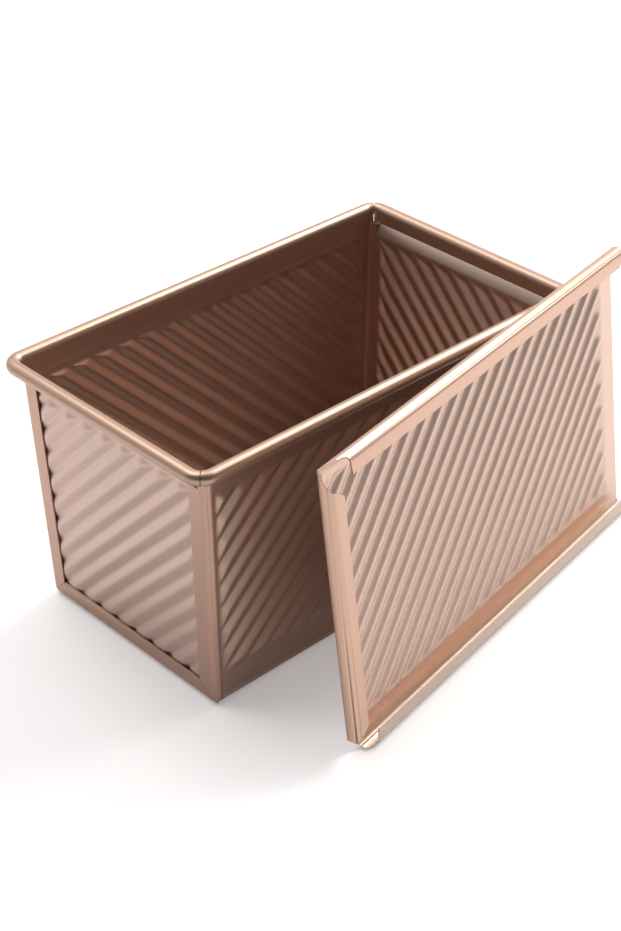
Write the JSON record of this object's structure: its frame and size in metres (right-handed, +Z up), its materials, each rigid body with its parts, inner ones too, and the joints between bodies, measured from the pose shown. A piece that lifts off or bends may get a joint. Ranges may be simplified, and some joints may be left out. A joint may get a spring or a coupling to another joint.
{
  "type": "pullman loaf pan",
  "caption": "Corrugated lidded loaf pan with tapered walls, hemmed ends and a rolled wired rim, its sliding lid taken off and leaning beside it.",
  "frame": {"origin": "middle of the pan's underside, on the surface that it stands on", "axes": "+X along the pan towards its far end, +Y across it away from the lid, +Z up out of the mouth"},
  "size_m": [0.2423, 0.1779, 0.1287],
  "materials": {
    "pan_coated_steel": "satin champagne non-stick coating",
    "rim_coated_steel": "satin champagne non-stick coating, brighter where the edge is rolled",
    "lid_coated_steel": "satin champagne non-stick coating",
    "rim_wire_steel": "drawn wire"
  },
  "bodies": {
    "pan": {"front_wall": "pan_coated_steel", "rear_wall": "pan_coated_steel", "base_sheet": "pan_coated_steel", "near_front_hem": "pan_coated_steel", "near_rear_hem": "pan_coated_steel", "near_base_hem": "pan_coated_steel", "far_front_hem": "pan_coated_steel", "far_rear_hem": "pan_coated_steel", "far_base_hem": "pan_coated_steel", "near_end_panel": "pan_coated_steel", "far_end_panel": "pan_coated_steel", "front_bead": "rim_coated_steel", "rear_bead": "rim_coated_steel", "near_end_bead": "rim_coated_steel", "far_end_bead": "rim_coated_steel", "rim_wire": "rim_wire_steel"},
    "lid": {"lid_panel": "lid_coated_steel", "lid_upper_runner": "lid_coated_steel", "lid_lower_runner": "lid_coated_steel", "lid_end_channel": "lid_coated_steel"}
  },
  "joints": [
    {"name": "lid_slide", "type": "slide", "parent": "pan", "child": "lid", "axis": [0.9842, 0.1771, 0], "range_m": [0, 0.213]}
  ]
}
